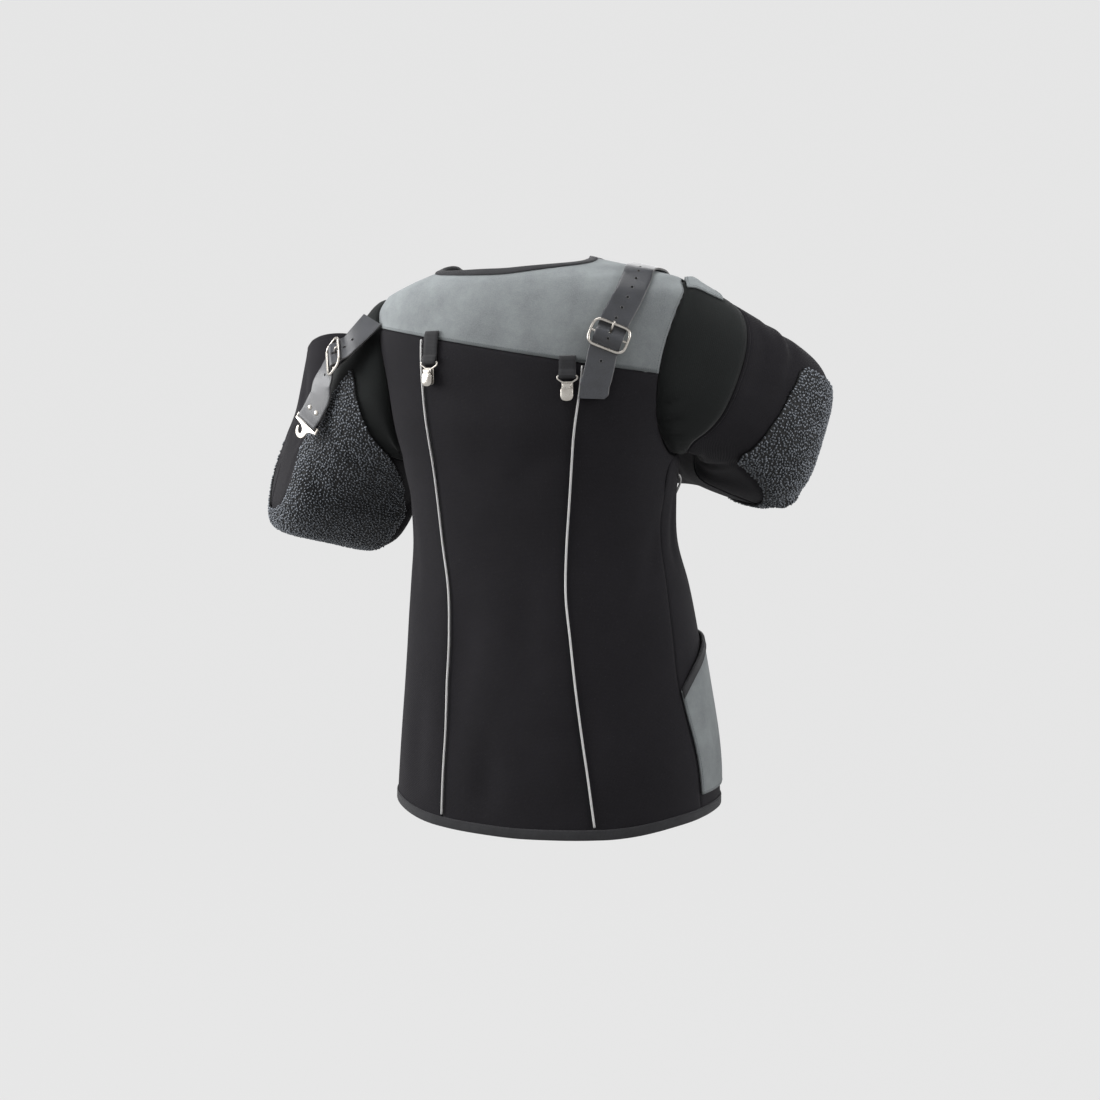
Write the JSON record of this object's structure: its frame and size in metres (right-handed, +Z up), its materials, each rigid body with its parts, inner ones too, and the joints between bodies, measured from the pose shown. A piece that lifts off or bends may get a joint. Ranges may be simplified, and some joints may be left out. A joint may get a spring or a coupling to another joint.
{
  "type": "shooting jacket",
  "caption": "Stiff canvas jacket for rifle shooters, worn with bent arms, with a suede yoke, rubber elbow pads, a buckled shoulder strap, a sling strap with its hook and hanging clips.",
  "frame": {"origin": "midway between the tops of the shoulders, inside the jacket, where it hangs on its wearer", "axes": "+Z up, -Y to the wearer's front, +X to the wearer's left"},
  "size_m": [0.7759, 0.4603, 0.6883],
  "materials": {
    "canvas": "dense black cotton canvas, matt, with a fine weave",
    "shoulder_cloth": "soft black cloth with a short nap",
    "suede": "grey suede, matt and mottled",
    "binding": "dark grey ribbed tape, folded over the edge",
    "webbing": "black ribbed webbing",
    "piping": "white covered cord",
    "pebbled_rubber": "dark grey rubber with small raised pebbles",
    "strap_leather": "smooth grey-black leather, softly glossy, with paler cut edges",
    "nickel": "bright nickel plate",
    "button": "black plastic"
  },
  "bodies": {
    "jacket": {"back_centre": "canvas", "back_side_left": "canvas", "back_side_right": "canvas", "button_1": "button", "button_2": "button", "button_3": "button", "button_4": "button", "button_5": "button", "button_6": "button", "clip_left_tab": "webbing", "clip_right_tab": "webbing", "elbow_pad_left": "pebbled_rubber", "elbow_pad_right": "pebbled_rubber", "front_left": "canvas", "front_right": "canvas", "hem_binding": "binding", "neck_binding": "binding", "piping_back_left": "piping", "piping_back_right": "piping", "piping_front_left": "piping", "piping_front_right": "piping", "placket": "canvas", "pocket": "suede", "pocket_binding": "binding", "rivet_lower": "nickel", "rivet_upper": "nickel", "shoulder_buckle_frame": "nickel", "shoulder_buckle_tongue": "nickel", "shoulder_overlap_right": "suede", "shoulder_patch_left": "suede", "shoulder_patch_right": "suede", "shoulder_strap": "strap_leather", "sleeve_left_cap": "shoulder_cloth", "sleeve_left_fore": "canvas", "sleeve_left_upper": "canvas", "sleeve_right_cap": "shoulder_cloth", "sleeve_right_fore": "canvas", "sleeve_right_upper": "canvas", "sling_buckle_frame": "nickel", "sling_buckle_tongue": "nickel", "sling_strap": "strap_leather", "sling_strap_under": "strap_leather", "yoke": "suede"},
    "clip_left": {"clip_left_body": "nickel"},
    "clip_left_lever": {"clip_left_lever": "nickel"},
    "clip_right": {"clip_right_body": "nickel"},
    "clip_right_lever": {"clip_right_lever": "nickel"},
    "sling_hook": {"sling_hook": "nickel"}
  },
  "joints": [
    {"name": "clip_left_swing", "type": "hinge", "parent": "jacket", "child": "clip_left", "pos_m": [0.09486, 0.10972, -0.09364], "axis": [0.971, -0.2392, 0], "range_deg": [0, 100]},
    {"name": "clip_left_lever_turn", "type": "hinge", "parent": "clip_left", "child": "clip_left_lever", "pos_m": [0.09563, 0.11283, -0.10414], "axis": [0.971, -0.2392, 0], "range_deg": [0, 75]},
    {"name": "clip_right_swing", "type": "hinge", "parent": "jacket", "child": "clip_right", "pos_m": [-0.08022, 0.1128, -0.11206], "axis": [0.98, 0.1989, 0], "range_deg": [0, 100]},
    {"name": "clip_right_lever_turn", "type": "hinge", "parent": "clip_right", "child": "clip_right_lever", "pos_m": [-0.08085, 0.11594, -0.12256], "axis": [0.98, 0.1989, 0], "range_deg": [0, 75]},
    {"name": "sling_hook_swing", "type": "hinge", "parent": "jacket", "child": "sling_hook", "pos_m": [0.292, 0.0435, -0.163], "axis": [0.7963, -0.2135, 0.566], "range_deg": [-8, 120]}
  ]
}
